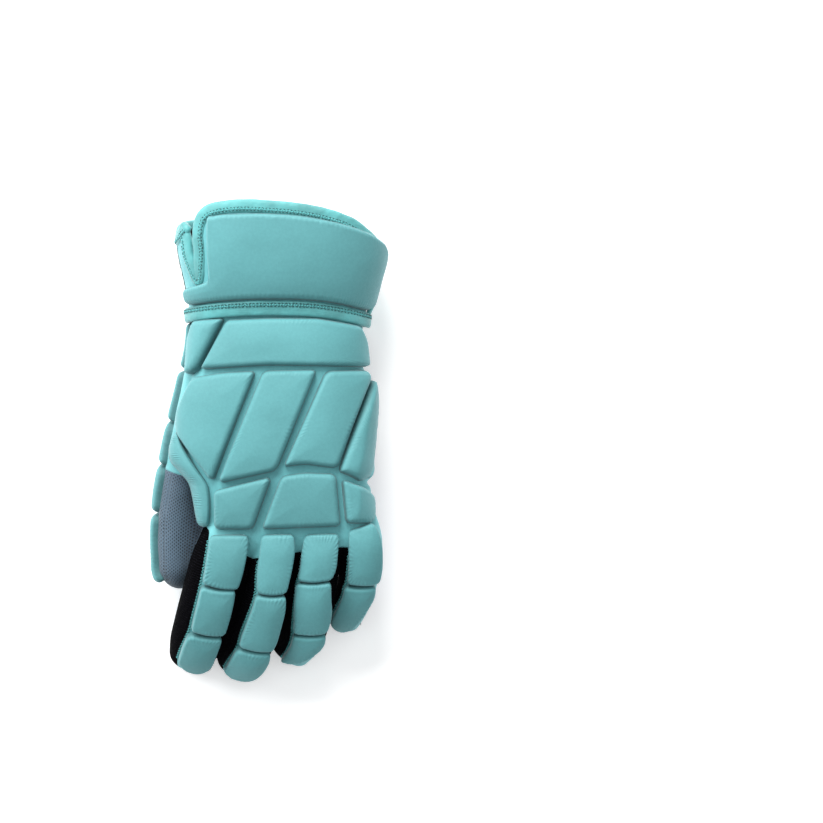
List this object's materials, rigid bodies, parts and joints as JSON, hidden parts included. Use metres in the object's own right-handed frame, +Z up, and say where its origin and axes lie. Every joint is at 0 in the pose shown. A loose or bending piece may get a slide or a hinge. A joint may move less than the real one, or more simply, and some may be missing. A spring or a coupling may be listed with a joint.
{
  "type": "ball hockey glove",
  "caption": "Left ball hockey glove lying palm down, with padded teal back and fingers, grey palm, open flared cuff and wrist strap.",
  "frame": {"origin": "on the floor under the middle of the glove's box, as it lies palm down", "axes": "+Y from the fingertips to the cuff's opening, +Z up through the padded back, +X to the little finger's side"},
  "size_m": [0.1614, 0.3324, 0.0795],
  "materials": {
    "teal_cloth": "smooth knit",
    "teal_tape": "satin tape",
    "grey_cloth": "dimpled matt cloth",
    "black_mesh": "open knit mesh",
    "black_loop": "brushed loop pile",
    "black_elastic": "ribbed elastic",
    "navy_patch": "matt",
    "white_label": "woven tape"
  },
  "bodies": {
    "root": {"back_shell": "teal_cloth", "palm": "grey_cloth", "finger_gusset": "black_mesh", "thumb_sleeve": "grey_cloth", "wrist_pad_inner": "teal_cloth", "wrist_pad_main": "teal_cloth", "back_pad_1": "teal_cloth", "back_pad_2": "teal_cloth", "back_pad_3": "teal_cloth", "back_pad_outer": "teal_cloth", "knuckle_pad_inner": "teal_cloth", "knuckle_pad_middle": "teal_cloth", "knuckle_pad_outer": "teal_cloth", "thumb_web_pad": "teal_cloth", "index_pad_1": "teal_cloth", "index_pad_2": "teal_cloth", "index_pad_3": "teal_cloth", "middle_pad_1": "teal_cloth", "middle_pad_2": "teal_cloth", "middle_pad_3": "teal_cloth", "ring_pad_1": "teal_cloth", "ring_pad_2": "teal_cloth", "ring_pad_3": "teal_cloth", "little_pad_1": "teal_cloth", "little_pad_2": "teal_cloth", "thumb_pad_1": "teal_cloth", "thumb_pad_2": "teal_cloth", "thumb_pad_3": "teal_cloth", "thumb_pad_4": "teal_cloth", "thumb_pad_5": "teal_cloth", "cuff_base": "teal_cloth", "cuff_lining": "black_mesh", "cuff_binding": "teal_tape", "inner_tag": "white_label", "cuff_pad": "teal_cloth", "loop_panel": "black_loop", "strap": "black_elastic", "strap_tab": "navy_patch", "wrist_binding": "teal_tape"}
  },
  "joints": []
}
